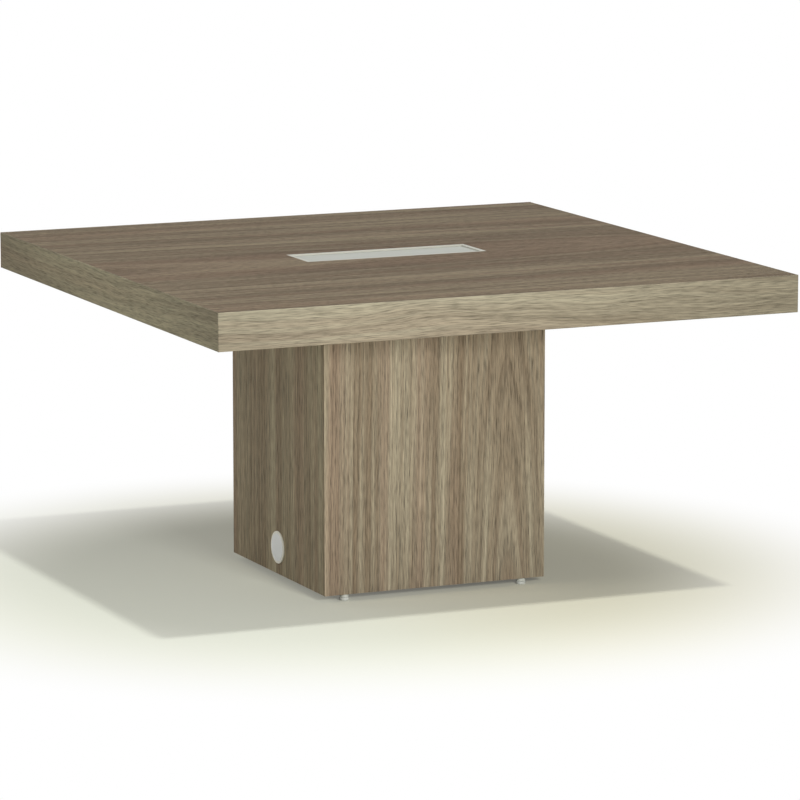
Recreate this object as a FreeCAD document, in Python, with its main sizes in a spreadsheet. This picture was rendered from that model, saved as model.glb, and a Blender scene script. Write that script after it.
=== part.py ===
import FreeCAD, Part
import os
import re
import Sketcher

doc = FreeCAD.newDocument("square_table")
sheet = doc.addObject("Spreadsheet::Sheet", "Sizes")

# Sizes in millimetres
SIZES = {
    # worktop
    "side": 1400,
    "height": 750,
    "top_thick": 85,
    "skin_thick": 15,
    "rail_wide": 40,
    "band_thick": 2,
    "arris_rad": 1.5,
    # pedestal
    "panel_thick": 25,
    "tray_room": 3.5,
    "foot_gap": 15,
    "post_side": 30,
    "post_foot": 20,
    "post_head": 60,
    "post_screw_in": 60,
    "post_screw_step": 30,
    # angles between pedestal and worktop
    "angle_leg": 28,
    "angle_thick": 2.5,
    "angle_long": 300,
    "angle_hole": 100,
    # wood screws
    "shank_rad": 2,
    "head_rad": 4,
    "head_thick": 2.5,
    "skin_cover": 4,
    "panel_cover": 10,
    # cable box frame and tray
    "flange_long": 450,
    "flange_wide": 130,
    "flange_thick": 3,
    "rim_wide": 10,
    "wall_thick": 2,
    "frame_deep": 25,
    "sheet_thick": 1.5,
    "tray_deep": 110,
    "tray_lip": 2,
    "exit_long": 140,
    "exit_wide": 50,
    "exit_front": 10,
    "fit_gap": 0.5,
    "small_rad": 1.7,
    "small_head": 3.2,
    "small_head_thick": 1.8,
    "small_bite": 12,
    "small_head_drop": 0.8,
    "frame_screw_out": 25,
    # lid and its hinge
    "lid_drop": 3,
    "lid_thick": 4,
    "lid_gap": 1,
    "bead_rad": 4,
    "hinge_back": 5.6,
    "pin_rad": 2,
    "pin_in": 12,
    "run_gap": 0.05,
    "notch_rad": 50,
    "notch_in": 8,
    "ledge_wide": 6,
    "ledge_thick": 2,
    "ledge_break": 80,
    "bumper_rad": 2.5,
    "bumper_thick": 1,
    "rest_gap": 0.3,
    # outlet plate and blank inserts
    "plate_end_gap": 17,
    "plate_high": 62,
    "plate_foot": 20,
    "plate_back": 25,
    "window_side": 45,
    "window_up": 34,
    "blank_side": 50,
    "blank_thick": 2,
    "blank_tail": 6,
    # grommet
    "grommet_up": 63,
    "grommet_hole": 30,
    "grommet_over": 8,
    "grommet_rim": 5,
    "grommet_wall": 3,
    "grommet_lip": 3,
    "grommet_tube": 22,
    "seat_deep": 1.5,
    "cap_thick": 1.6,
    "cap_skirt": 12,
    "cap_wall": 2,
    "tab_wide": 18,
    "tab_high": 15,
    "tab_groove": 1,
    "tab_deep": 0.6,
    # levellers
    "foot_in": 53,
    "bush_rad": 6,
    "bush_long": 20,
    "stud_rad": 4,
    "stud_long": 32,
    "stud_gap": 1,
    "spigot_rad": 3,
    "spigot_long": 5,
    "pad_rad": 11,
    "pad_high": 7,
    "pad_bevel": 1.5,
    "knob_rad": 10,
    # cutting tools reach past the faces they cut
    "overrun": 2,
}

for row, (alias, value) in enumerate(SIZES.items(), start=1):
    sheet.set(f"A{row}", alias)
    sheet.set(f"B{row}", str(value))
    sheet.setAlias(f"B{row}", alias)
doc.recompute()

WORD = re.compile(r"[a-z_]+")

# Derived places, written once as expressions
CORE = "(side - 2 * band_thick)"
UNDER = "(height - top_thick)"
CORE_LOW = f"({UNDER} + skin_thick)"
CORE_HIGH = "(height - skin_thick)"
CORE_DEEP = "(top_thick - 2 * skin_thick)"
WELL_LONG = "(flange_long - 2 * rim_wide)"
WELL_WIDE = "(flange_wide - 2 * rim_wide)"
WALL_LONG = f"({WELL_LONG} + 2 * wall_thick)"
WALL_WIDE = f"({WELL_WIDE} + 2 * wall_thick)"
TRAY_LONG = f"({WALL_LONG} + 2 * sheet_thick)"
TRAY_WIDE = f"({WALL_WIDE} + 2 * sheet_thick)"
INNER = f"({TRAY_LONG} / 2 + tray_room + angle_leg)"
HALF = f"({INNER} + panel_thick)"
PED_SIDE = f"(2 * {HALF})"
MID_WALL = f"({HALF} - panel_thick / 2)"
PED_HIGH = f"({UNDER} - foot_gap)"
SKIN_BITE = "(skin_thick - skin_cover)"
PANEL_BITE = "(panel_thick - panel_cover)"
HOLE_LONG = f"({TRAY_LONG} + 2 * fit_gap)"
HOLE_WIDE = f"({TRAY_WIDE} + 2 * fit_gap)"
TRAY_FLOOR = "(height - tray_deep)"
LID_TOP = "(height - lid_drop)"
LID_LOW = f"({LID_TOP} - lid_thick)"
HINGE_Y = f"({WELL_WIDE} / 2 - hinge_back)"
HINGE_Z = f"({LID_TOP} - bead_rad)"
LEDGE_TOP = f"({LID_LOW} - rest_gap - bumper_thick)"
FRAME_SCREW_Z = f"({LID_LOW} - small_head - small_head_drop)"
POST_LOW = "(foot_gap + post_foot)"
POST_LONG = f"({UNDER} - post_head - {POST_LOW})"
POST_TOP = f"({POST_LOW} + {POST_LONG})"
POST_MID = f"({INNER} - post_side / 2)"
GROMMET_Z = "(foot_gap + grommet_up)"
GROMMET_RAD = "(grommet_hole + grommet_over)"
SEAT_RAD = f"({GROMMET_RAD} - grommet_rim)"
PLATE_Y = f"({WALL_WIDE} / 2 - plate_back)"
PLATE_LONG = f"({WALL_LONG} - 2 * plate_end_gap)"
FOOT_X = f"({HALF} - foot_in)"

# Turns, and how near two places count as one
QUARTER_TURN = 90
NEAR = 1e-6

ALONG = {
    "z": FreeCAD.Rotation(),
    "-z": FreeCAD.Rotation(FreeCAD.Vector(1, 0, 0), 2 * QUARTER_TURN),
    "x": FreeCAD.Rotation(FreeCAD.Vector(0, 1, 0), QUARTER_TURN),
    "-x": FreeCAD.Rotation(FreeCAD.Vector(0, 1, 0), -QUARTER_TURN),
    "y": FreeCAD.Rotation(FreeCAD.Vector(1, 0, 0), -QUARTER_TURN),
    "-y": FreeCAD.Rotation(FreeCAD.Vector(1, 0, 0), QUARTER_TURN),
}
SIDES = ("front", "right", "back", "left")
nodes = []


def sized(text):
    """Point every size name in an expression at its sheet cell."""
    return WORD.sub(lambda m: f"Sizes.{m[0]}" if m[0] in SIZES else m[0], text)


def bind(obj, **values):
    """Bind properties of an object to expressions."""
    for prop, text in values.items():
        obj.setExpression(prop, sized(text))
    return obj


def place(obj, at, turn=None):
    """Bind the place of an object and set its turn."""
    if turn is not None:
        obj.Placement = FreeCAD.Placement(FreeCAD.Vector(), turn)
    for axis, text in zip("xyz", at):
        obj.setExpression(f"Placement.Base.{axis}", sized(text))
    return obj


def upright_turn(steps):
    """Rotation round the upright axis by quarter turns."""
    return FreeCAD.Rotation(FreeCAD.Vector(0, 0, 1), QUARTER_TURN * steps)


def quarter(obj, steps):
    """Turn an object round the table's upright axis by quarter turns."""
    obj.Placement = FreeCAD.Placement(FreeCAD.Vector(), upright_turn(steps))
    return obj


def box(size, at):
    """Block from its low corner."""
    block = doc.addObject("Part::Box", "block")
    bind(block, Length=size[0], Width=size[1], Height=size[2])
    return place(block, at)


def middle_box(size, low, at=("0", "0")):
    """Block centred on a plan point, standing on a level."""
    corner = (f"{at[0]} - {size[0]} / 2", f"{at[1]} - {size[1]} / 2", low)
    return box(size, corner)


def rod(radius, length, at, along="z"):
    """Round rod from the centre of its first end."""
    bar = doc.addObject("Part::Cylinder", "rod")
    bind(bar, Radius=radius, Height=length)
    return place(bar, at, ALONG[along])


def bevel(radius_low, radius_high, length, at):
    """Upright cone frustum."""
    cone = doc.addObject("Part::Cone", "bevel")
    bind(cone, Radius1=radius_low, Radius2=radius_high, Height=length)
    return place(cone, at)


def join(*pieces):
    """One solid from touching pieces."""
    if len(pieces) == 1:
        return pieces[0]
    whole = doc.addObject("Part::MultiFuse", "join")
    whole.Shapes = list(pieces)
    whole.Refine = True
    return whole


def cut(base, *tools):
    """Base less its tools."""
    rest = doc.addObject("Part::Cut", "cut")
    rest.Base = base
    rest.Tool = join(*tools)
    return rest


def group(*pieces):
    """Separate solids kept as one set."""
    kept = doc.addObject("Part::Compound", "set")
    kept.Links = list(pieces)
    return kept


def node(label, obj):
    """Name a finished sub-part."""
    obj.Label = label
    nodes.append(obj)
    return obj


def profile(points, depth):
    """Body padded from a closed outline whose corners are expressions from its origin."""
    body = doc.addObject("PartDesign::Body", "body")
    sketch = body.newObject("Sketcher::SketchObject", "outline")
    plane = [f for f in body.Origin.OriginFeatures if f.Role == "XY_Plane"][0]
    sketch.AttachmentSupport = [(plane, "")]
    sketch.MapMode = "FlatFace"
    rough = [FreeCAD.Vector(*(evaluate(part) for part in point), 0) for point in points]
    count = len(points)
    for k in range(count):
        sketch.addGeometry(Part.LineSegment(rough[k], rough[(k + 1) % count]), False)
    for k in range(count):
        sketch.addConstraint(Sketcher.Constraint("Coincident", k, 2, (k + 1) % count, 1))
    for k, point in enumerate(points):
        for kind, axis, text, value in zip(("DistanceX", "DistanceY"), (-2, -1), point, rough[k]):
            if text == "0":
                sketch.addConstraint(Sketcher.Constraint("PointOnObject", k, 1, axis))
                continue
            index = sketch.addConstraint(Sketcher.Constraint(kind, -1, 1, k, 1, value))
            sketch.setExpression(f"Constraints[{index}]", sized(text))
    pad = body.newObject("PartDesign::Pad", "pad")
    pad.Profile = sketch
    bind(pad, Length=depth)
    return body


def evaluate(text):
    """Value of an expression at the sheet's present sizes."""
    return sheet.evalExpression(sized(text)) if text != "0" else 0


def soften(body, length, ends):
    """Round the outer edges of a padded strip, its upright ends too where asked."""
    doc.recompute()
    pad = body.Tip
    limits = (NEAR, evaluate(length) - NEAR)
    picked = []
    for number, edge in enumerate(pad.Shape.Edges, start=1):
        middle = edge.CenterOfMass
        if abs(middle.y) < NEAR and (ends or limits[0] < middle.x < limits[1]):
            picked.append(f"Edge{number}")
    rounding = body.newObject("PartDesign::Fillet", "rounding")
    rounding.Base = (pad, picked)
    bind(rounding, Radius="arris_rad")
    return body


def screw(shank, head, thick, length, at, along):
    """Pan-head screw: at is the middle of the seat under its head."""
    back = along[1:] if along.startswith("-") else f"-{along}"
    return join(rod(shank, length, at, along), rod(head, thick, at, back))


def wood_screw(reach, bite, at, along):
    """Wood screw through a piece of thickness reach and on into the next."""
    return screw("shank_rad", "head_rad", "head_thick", f"{reach} + {bite}", at, along)


# Worktop skins
FRAME_SCREW_LONG = "(wall_thick + sheet_thick + fit_gap + small_bite)"
FRAME_SCREWS = [
    ((f"{sign}{WELL_LONG} / 2", f"{side}frame_screw_out", FRAME_SCREW_Z), f"{sign}x")
    for sign in ("-", "")
    for side in ("-", "")
]


def frame_screw_bores():
    """Bores for the screws that hold frame and tray in the worktop."""
    return [rod("small_rad", FRAME_SCREW_LONG, at, along) for at, along in FRAME_SCREWS]


SKIN = (CORE, CORE, "skin_thick")
SKIN_HOLE = (HOLE_LONG, HOLE_WIDE, "(skin_thick + 2 * overrun)")
REBATE = ("(flange_long + 2 * fit_gap)", "(flange_wide + 2 * fit_gap)", "(flange_thick + overrun)")
top_hole = middle_box(SKIN_HOLE, f"{CORE_HIGH} - overrun")
rebate = middle_box(REBATE, "height - flange_thick")
node("top_skin", cut(middle_box(SKIN, CORE_HIGH), top_hole, rebate, *frame_screw_bores()))

ANGLE_TOP_Y = f"-{INNER} + angle_leg / 2"
ANGLE_WALL_Z = f"{UNDER} - angle_leg / 2"
skin_bores = []
for steps in range(len(SIDES)):
    for sign in ("-", ""):
        mouth = (f"{sign}angle_hole", ANGLE_TOP_Y, f"{UNDER} - overrun")
        bore = rod("shank_rad", f"{SKIN_BITE} + overrun", mouth)
        skin_bores.append(quarter(group(bore), steps))
low_hole = middle_box(SKIN_HOLE, f"{UNDER} - overrun")
node("bottom_skin", cut(middle_box(SKIN, UNDER), low_hole, *skin_bores))

# Rails between the skins
LONG_RAIL = (CORE, "rail_wide", CORE_DEEP)
SHORT_RAIL = ("rail_wide", f"({CORE} - 2 * rail_wide)", CORE_DEEP)
INNER_RAIL = (f"(2 * {MID_WALL} - rail_wide)", "rail_wide", CORE_DEEP)
for name, sign in (("front", "-"), ("back", "")):
    node(f"rail_{name}", middle_box(LONG_RAIL, CORE_LOW, ("0", f"{sign}({CORE} - rail_wide) / 2")))
    node(f"header_{name}", middle_box(INNER_RAIL, CORE_LOW, ("0", f"{sign}{MID_WALL}")))
    node(f"trimmer_{name}", middle_box(INNER_RAIL, CORE_LOW, ("0", f"{sign}({HOLE_WIDE} + rail_wide) / 2")))
for name, sign in (("left", "-"), ("right", "")):
    node(f"rail_{name}", middle_box(SHORT_RAIL, CORE_LOW, (f"{sign}({CORE} - rail_wide) / 2", "0")))
    node(f"cross_rail_{name}", middle_box(SHORT_RAIL, CORE_LOW, (f"{sign}{MID_WALL}", "0")))

# Edge bands: front and back run full length, left and right stand between them
BANDS = {
    "front": ("side", "-side / 2", "-side / 2"),
    "right": (CORE, "side / 2", f"-{CORE} / 2"),
    "back": ("side", "side / 2", "side / 2"),
    "left": (CORE, "-side / 2", f"{CORE} / 2"),
}
for steps, name in enumerate(SIDES):
    length, x, y = BANDS[name]
    outline = (("0", "0"), (length, "0"), (length, "band_thick"), ("0", "band_thick"))
    band = profile(outline, "top_thick")
    soften(band, length, length == "side")
    node(f"edge_band_{name}", place(band, (x, y, UNDER), upright_turn(steps)))

# Pedestal panels, mitred at the corners
SCREW_LOW = f"({POST_LOW} + post_screw_in)"
SCREW_HIGH = f"({POST_TOP} - post_screw_in - post_screw_step)"
LEFT_END_Z = (SCREW_LOW, SCREW_HIGH)
RIGHT_END_Z = tuple(f"({z} + post_screw_step)" for z in LEFT_END_Z)
MITRED = (
    ("0", "0"),
    (PED_SIDE, "0"),
    (f"{PED_SIDE} - panel_thick", "panel_thick"),
    ("panel_thick", "panel_thick"),
)
for steps, name in enumerate(SIDES):
    panel = place(profile(MITRED, PED_HIGH), (f"-{HALF}", f"-{HALF}", "foot_gap"))
    tools = []
    spots = [(f"{sign}angle_hole", ANGLE_WALL_Z) for sign in ("-", "")]
    spots += [(f"-{POST_MID}", z) for z in LEFT_END_Z]
    spots += [(POST_MID, z) for z in RIGHT_END_Z]
    for x, z in spots:
        tools.append(rod("shank_rad", f"{PANEL_BITE} + overrun", (x, f"-{INNER} + overrun", z), "-y"))
    if name in ("front", "back"):
        for sign in ("-", ""):
            mouth = (f"{sign}{FOOT_X}", f"-{MID_WALL}", "foot_gap - overrun")
            tools.append(rod("bush_rad", "bush_long + overrun", mouth))
            tools.append(rod("stud_rad + stud_gap", "stud_long + 2 * overrun", mouth))
    if name == "left":
        through = ("0", f"-{HALF} - overrun", GROMMET_Z)
        tools.append(rod("grommet_hole", "panel_thick + 2 * overrun", through, "y"))
    node(f"{name}_panel", quarter(cut(panel, *tools), steps))

# Corner posts and their screws
post_screws = []
for steps in range(len(SIDES)):
    tools = []
    for z in LEFT_END_Z:
        seat = (f"-{POST_MID}", f"-{INNER} + post_side", z)
        start = (f"-{POST_MID}", f"-{INNER} + post_side + overrun", z)
        tools.append(rod("shank_rad", "post_side + 2 * overrun", start, "-y"))
        post_screws.append(quarter(wood_screw("post_side", PANEL_BITE, seat, "-y"), steps))
    for z in RIGHT_END_Z:
        seat = (f"-{INNER} + post_side", f"-{POST_MID}", z)
        start = (f"-{INNER} + post_side + overrun", f"-{POST_MID}", z)
        tools.append(rod("shank_rad", "post_side + 2 * overrun", start, "-x"))
        post_screws.append(quarter(wood_screw("post_side", PANEL_BITE, seat, "-x"), steps))
    post = box(("post_side", "post_side", POST_LONG), (f"-{INNER}", f"-{INNER}", POST_LOW))
    node(f"corner_post_{steps + 1}", quarter(cut(post, *tools), steps))
node("post_screws", group(*post_screws))

# Steel angles between pedestal and worktop
panel_screws = []
top_screws = []
for steps, name in enumerate(SIDES):
    wall_corner = ("-angle_long / 2", f"-{INNER}", f"{UNDER} - angle_leg")
    top_corner = ("-angle_long / 2", f"-{INNER}", f"{UNDER} - angle_thick")
    wall_leg = box(("angle_long", "angle_thick", "angle_leg"), wall_corner)
    top_leg = box(("angle_long", "angle_leg", "angle_thick"), top_corner)
    tools = []
    for sign in ("-", ""):
        x = f"{sign}angle_hole"
        wall_seat = (x, f"-{INNER} + angle_thick", ANGLE_WALL_Z)
        top_seat = (x, ANGLE_TOP_Y, f"{UNDER} - angle_thick")
        tools.append(rod("shank_rad", "angle_thick", wall_seat, "-y"))
        tools.append(rod("shank_rad", "angle_thick", top_seat))
        panel_screws.append(quarter(wood_screw("angle_thick", PANEL_BITE, wall_seat, "-y"), steps))
        top_screws.append(quarter(wood_screw("angle_thick", SKIN_BITE, top_seat, "z"), steps))
    node(f"angle_{name}", quarter(cut(join(wall_leg, top_leg), *tools), steps))
node("panel_screws", group(*panel_screws))
node("top_screws", group(*top_screws))

# Cable box: frame, lid, hinge pins, bumpers
flange = middle_box(("flange_long", "flange_wide", "flange_thick"), "height - flange_thick")
walls = middle_box((WALL_LONG, WALL_WIDE, "(frame_deep - flange_thick)"), "height - frame_deep")
well = middle_box((WELL_LONG, WELL_WIDE, "(frame_deep + 2 * overrun)"), "height - frame_deep - overrun")
ledge_corner = (f"-{WELL_LONG} / 2", f"-{WELL_WIDE} / 2", f"{LEDGE_TOP} - ledge_thick")
ledge = box((WELL_LONG, "ledge_wide", "ledge_thick"), ledge_corner)
finger_room = ("ledge_break", "(2 * ledge_wide)", "(ledge_thick + 2 * overrun)")
finger_at = ("0", f"(-{WELL_WIDE} / 2 + ledge_wide)")
finger_gap = middle_box(finger_room, f"{LEDGE_TOP} - ledge_thick - overrun", finger_at)
frame = join(cut(join(flange, walls), well), cut(ledge, finger_gap))
# Bumper places as a share of the well, from its middle
BUMPER_SHARE = 0.35
pins = []
pin_bores = []
lid_bores = []
bumpers = []
for sign, inward in (("-", "x"), ("", "-x")):
    pin_start = (f"{sign}{WALL_LONG} / 2", HINGE_Y, HINGE_Z)
    bore_start = (f"{sign}({WELL_LONG} / 2 - lid_gap + overrun)", HINGE_Y, HINGE_Z)
    pins.append(rod("pin_rad", "wall_thick + lid_gap + pin_in", pin_start, inward))
    pin_bores.append(rod("pin_rad", "wall_thick", pin_start, inward))
    lid_bores.append(rod("pin_rad + run_gap", "overrun + pin_in + fit_gap", bore_start, inward))
    bumper_at = (f"{sign}{BUMPER_SHARE} * {WELL_LONG}", f"-{WELL_WIDE} / 2 + ledge_wide / 2", LEDGE_TOP)
    bumpers.append(rod("bumper_rad", "bumper_thick", bumper_at))
node("flap_frame", cut(frame, *pin_bores, *frame_screw_bores()))
LID_LONG = f"({WELL_LONG} - 2 * lid_gap)"
lid_size = (LID_LONG, f"{HINGE_Y} + {WELL_WIDE} / 2 - lid_gap", "lid_thick")
lid_plate = box(lid_size, (f"-{LID_LONG} / 2", f"-{WELL_WIDE} / 2 + lid_gap", LID_LOW))
bead = rod("bead_rad", LID_LONG, (f"-{LID_LONG} / 2", HINGE_Y, HINGE_Z), "x")
notch_at = ("0", f"-{WELL_WIDE} / 2 + lid_gap + notch_in - notch_rad", f"{LID_LOW} - overrun")
notch = rod("notch_rad", "lid_thick + 2 * overrun", notch_at)
node("flap_lid", cut(join(lid_plate, bead), notch, *lid_bores))
node("hinge_pins", group(*pins))
node("lid_bumpers", group(*bumpers))

# Cable box: tray, screws, outlet plate and blanks
tray_block = middle_box((TRAY_LONG, TRAY_WIDE, "(tray_deep - flange_thick - tray_lip)"), TRAY_FLOOR)
tray_room = middle_box((WALL_LONG, WALL_WIDE, "tray_deep"), f"{TRAY_FLOOR} + sheet_thick")
exit_size = ("exit_long", "exit_wide", "(sheet_thick + 2 * overrun)")
cable_exit = middle_box(exit_size, f"{TRAY_FLOOR} - overrun", ("0", "-exit_front"))
node("cable_tray", cut(tray_block, tray_room, cable_exit, *frame_screw_bores()))
frame_screws = []
for at, along in FRAME_SCREWS:
    frame_screws.append(screw("small_rad", "small_head", "small_head_thick", FRAME_SCREW_LONG, at, along))
node("frame_screws", group(*frame_screws))

# Window middles as shares of the plate, from its middle
WINDOW_SHARES = (-0.36, -0.12, 0.12, 0.36)
PLATE_LOW = f"({TRAY_FLOOR} + sheet_thick)"
WINDOW_Z = f"({TRAY_FLOOR} + window_up)"
upright = box((PLATE_LONG, "sheet_thick", "plate_high"), (f"-{PLATE_LONG} / 2", PLATE_Y, PLATE_LOW))
plate_foot = box((PLATE_LONG, "plate_foot", "sheet_thick"), (f"-{PLATE_LONG} / 2", PLATE_Y, PLATE_LOW))
TAIL = "(window_side - 2 * fit_gap)"
windows = []
blanks = []
for window_share in WINDOW_SHARES:
    x = f"({window_share} * {PLATE_LONG})"
    corner = (f"{x} - window_side / 2", f"{PLATE_Y} - overrun", f"{WINDOW_Z} - window_side / 2")
    windows.append(box(("window_side", "sheet_thick + 2 * overrun", "window_side"), corner))
    corner = (f"{x} - blank_side / 2", f"{PLATE_Y} - blank_thick", f"{WINDOW_Z} - blank_side / 2")
    cover = box(("blank_side", "blank_thick", "blank_side"), corner)
    tail = box((TAIL, "blank_tail", TAIL), (f"{x} - {TAIL} / 2", PLATE_Y, f"{WINDOW_Z} - {TAIL} / 2"))
    blanks.append(join(cover, tail))
node("outlet_plate", cut(join(upright, plate_foot), *windows))
node("outlet_blanks", group(*blanks))

# Cable grommet in the left panel
FACE = f"-{HALF}"
BORE_RAD = "(grommet_hole - grommet_wall)"
lip = rod(GROMMET_RAD, "grommet_lip", (FACE, "0", GROMMET_Z), "-x")
tube = rod("grommet_hole", "grommet_tube", (FACE, "0", GROMMET_Z), "x")
sleeve_end = (f"{FACE} - grommet_lip - overrun", "0", GROMMET_Z)
sleeve_bore = rod(BORE_RAD, "grommet_tube + grommet_lip + 2 * overrun", sleeve_end, "x")
seat = rod(SEAT_RAD, "seat_deep + overrun", (f"{FACE} - grommet_lip + seat_deep", "0", GROMMET_Z), "-x")
node("grommet_sleeve", cut(join(lip, tube), sleeve_bore, seat))
CAP_BACK = f"({FACE} - grommet_lip + seat_deep - rest_gap)"
CAP_FACE = f"({CAP_BACK} - cap_thick)"
CAP_RAD = f"({SEAT_RAD} - fit_gap)"
SKIRT_RAD = f"({BORE_RAD} - rest_gap)"
disc = rod(CAP_RAD, "cap_thick", (CAP_BACK, "0", GROMMET_Z), "-x")
skirt_block = rod(SKIRT_RAD, "cap_skirt", (CAP_BACK, "0", GROMMET_Z), "x")
skirt_room = rod(f"{SKIRT_RAD} - cap_wall", "cap_skirt + overrun", (CAP_BACK, "0", GROMMET_Z), "x")
skirt = cut(skirt_block, skirt_room)
TAB_LOW = f"({GROMMET_Z} - {CAP_RAD} - overrun)"
TAB_IN = "(tab_wide - 2 * tab_groove)"
groove_corner = (f"{CAP_FACE} - overrun", "-tab_wide / 2", TAB_LOW)
groove_block = box(("overrun + tab_deep", "tab_wide", "overrun + tab_high"), groove_corner)
tab_corner = (f"{CAP_FACE} - 2 * overrun", f"-{TAB_IN} / 2", f"{TAB_LOW} - overrun")
tab_block = box(("3 * overrun + tab_deep", TAB_IN, "2 * overrun + tab_high - tab_groove"), tab_corner)
node("grommet_cap", cut(join(disc, skirt), cut(groove_block, tab_block)))

# Levelling feet under the front and back panels
bushes = []
KNOB_LOW = "(pad_high + rest_gap)"
for number, (sign, side) in enumerate((("-", "-"), ("", "-"), ("", ""), ("-", "")), start=1):
    x = f"{sign}{FOOT_X}"
    y = f"{side}{MID_WALL}"
    bush_bore = rod("stud_rad + run_gap", "bush_long + 2 * overrun", (x, y, "foot_gap - overrun"))
    bushes.append(cut(rod("bush_rad", "bush_long", (x, y, "foot_gap")), bush_bore))
    pad_edge = bevel("pad_rad - pad_bevel", "pad_rad", "pad_bevel", (x, y, "0"))
    pad_disc = rod("pad_rad", "pad_high - pad_bevel", (x, y, "pad_bevel"))
    socket_low = (x, y, "pad_high - spigot_long - rest_gap")
    socket = rod("spigot_rad + run_gap", "spigot_long + rest_gap + overrun", socket_low)
    node(f"leveller_pad_{number}", cut(join(pad_edge, pad_disc), socket))
    spigot = rod("spigot_rad", "spigot_long + rest_gap", (x, y, "pad_high - spigot_long"))
    thread = rod("stud_rad", f"foot_gap + stud_long - {KNOB_LOW}", (x, y, KNOB_LOW))
    node(f"leveller_stud_{number}", join(spigot, thread))
    knob_disc = rod("knob_rad", f"foot_gap - rest_gap - {KNOB_LOW}", (x, y, KNOB_LOW))
    knob_bore = rod("stud_rad", f"foot_gap - {KNOB_LOW} + overrun", (x, y, f"{KNOB_LOW} - overrun"))
    node(f"leveller_knob_{number}", cut(knob_disc, knob_bore))
node("leveller_bushes", group(*bushes))

doc.recompute()
for obj in doc.Objects:
    if "Invalid" in obj.State or "Error" in obj.State:
        raise RuntimeError(f"{obj.Label} did not build: {obj.State}")
os.makedirs("parts", exist_ok=True)
for obj in nodes:
    if obj.Shape.isNull() or not obj.Shape.isValid():
        raise RuntimeError(f"{obj.Label} has no valid shape")
    obj.Shape.exportStep(f"parts/{obj.Label}.step")
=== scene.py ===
import logging
import math
from dataclasses import dataclass
from enum import Enum
from typing import Any, Iterable, Optional, Sequence, Union

import bmesh
import bpy
from mathutils import Matrix, Vector


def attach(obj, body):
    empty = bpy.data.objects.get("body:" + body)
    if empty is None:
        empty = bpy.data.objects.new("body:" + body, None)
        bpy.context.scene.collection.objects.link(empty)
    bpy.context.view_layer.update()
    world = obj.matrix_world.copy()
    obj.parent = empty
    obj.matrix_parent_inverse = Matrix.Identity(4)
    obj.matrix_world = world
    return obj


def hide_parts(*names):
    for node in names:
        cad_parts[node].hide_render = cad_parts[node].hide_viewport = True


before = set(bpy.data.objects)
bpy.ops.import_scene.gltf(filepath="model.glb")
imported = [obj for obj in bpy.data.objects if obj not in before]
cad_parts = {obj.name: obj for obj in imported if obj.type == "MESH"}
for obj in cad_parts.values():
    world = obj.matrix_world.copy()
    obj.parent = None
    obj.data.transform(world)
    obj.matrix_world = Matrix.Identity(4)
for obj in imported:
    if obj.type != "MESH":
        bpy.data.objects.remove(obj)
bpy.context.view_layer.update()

LOG = logging.getLogger("square_table")
MM = 0.001
TURN = 2 * math.pi
MERGE = 1e-6
SIDES = ("front", "right", "back", "left")
LONG_SIDES = ("front", "back")
Colour = tuple[float, float, float, float]
Number = Union["Wire", float]
Outline = list[tuple[float, float]]


def tone(red: int, green: int, blue: int) -> Colour:
    """Linear colour of a screen colour.

    Args:
        red: Red from 0 to 255.
        green: Green from 0 to 255.
        blue: Blue from 0 to 255.

    Returns:
        The linear colour with full cover.
    """
    linear = []
    for part in (red, green, blue):
        share = part / 255
        linear.append(share / 12.92 if share <= 0.04045 else ((share + 0.055) / 1.055) ** 2.4)
    return (linear[0], linear[1], linear[2], 1.0)


WHITE = tone(255, 255, 255)


class Wire:
    """A node socket whose operators add Math nodes."""

    def __init__(self, graph: "Graph", socket: bpy.types.NodeSocket) -> None:
        """Keep the graph and the socket."""
        self.graph = graph
        self.socket = socket

    def sum(self, operation: str, *terms: Number) -> "Wire":
        """One Math node with its inputs in order."""
        return self.graph.node("ShaderNodeMath", {"operation": operation}, dict(enumerate(terms)))

    def __add__(self, other: Number) -> "Wire":
        """Self plus other."""
        return self.sum("ADD", self, other)

    def __radd__(self, other: Number) -> "Wire":
        """Other plus self."""
        return self.sum("ADD", other, self)

    def __sub__(self, other: Number) -> "Wire":
        """Self less other."""
        return self.sum("SUBTRACT", self, other)

    def __rsub__(self, other: Number) -> "Wire":
        """Other less self."""
        return self.sum("SUBTRACT", other, self)

    def __mul__(self, other: Number) -> "Wire":
        """Self times other."""
        return self.sum("MULTIPLY", self, other)

    def __rmul__(self, other: Number) -> "Wire":
        """Other times self."""
        return self.sum("MULTIPLY", other, self)

    def __truediv__(self, other: Number) -> "Wire":
        """Self over other."""
        return self.sum("DIVIDE", self, other)

    def __rtruediv__(self, other: Number) -> "Wire":
        """Other over self."""
        return self.sum("DIVIDE", other, self)

    def __pow__(self, other: Number) -> "Wire":
        """Self to the power of other."""
        return self.sum("POWER", self, other)

    def __rpow__(self, other: Number) -> "Wire":
        """Other to the power of self."""
        return self.sum("POWER", other, self)

    def most(self, other: Number) -> "Wire":
        """The greater of self and other."""
        return self.sum("MAXIMUM", self, other)

    def eased(self, low: float, high: float) -> "Wire":
        """Smooth step, from 0 at low to 1 at high."""
        inputs = {"Value": self, "From Min": low, "From Max": high}
        return self.graph.node("ShaderNodeMapRange", {"interpolation_type": "SMOOTHSTEP"}, inputs)

    def ringed(self, start: float, peak: float) -> "Wire":
        """Late wood of growth rings, one ring for each whole number."""
        part = self.sum("FRACT", self)
        return part.eased(start, peak) * (1 - part.eased(peak, 1.0))


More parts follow.
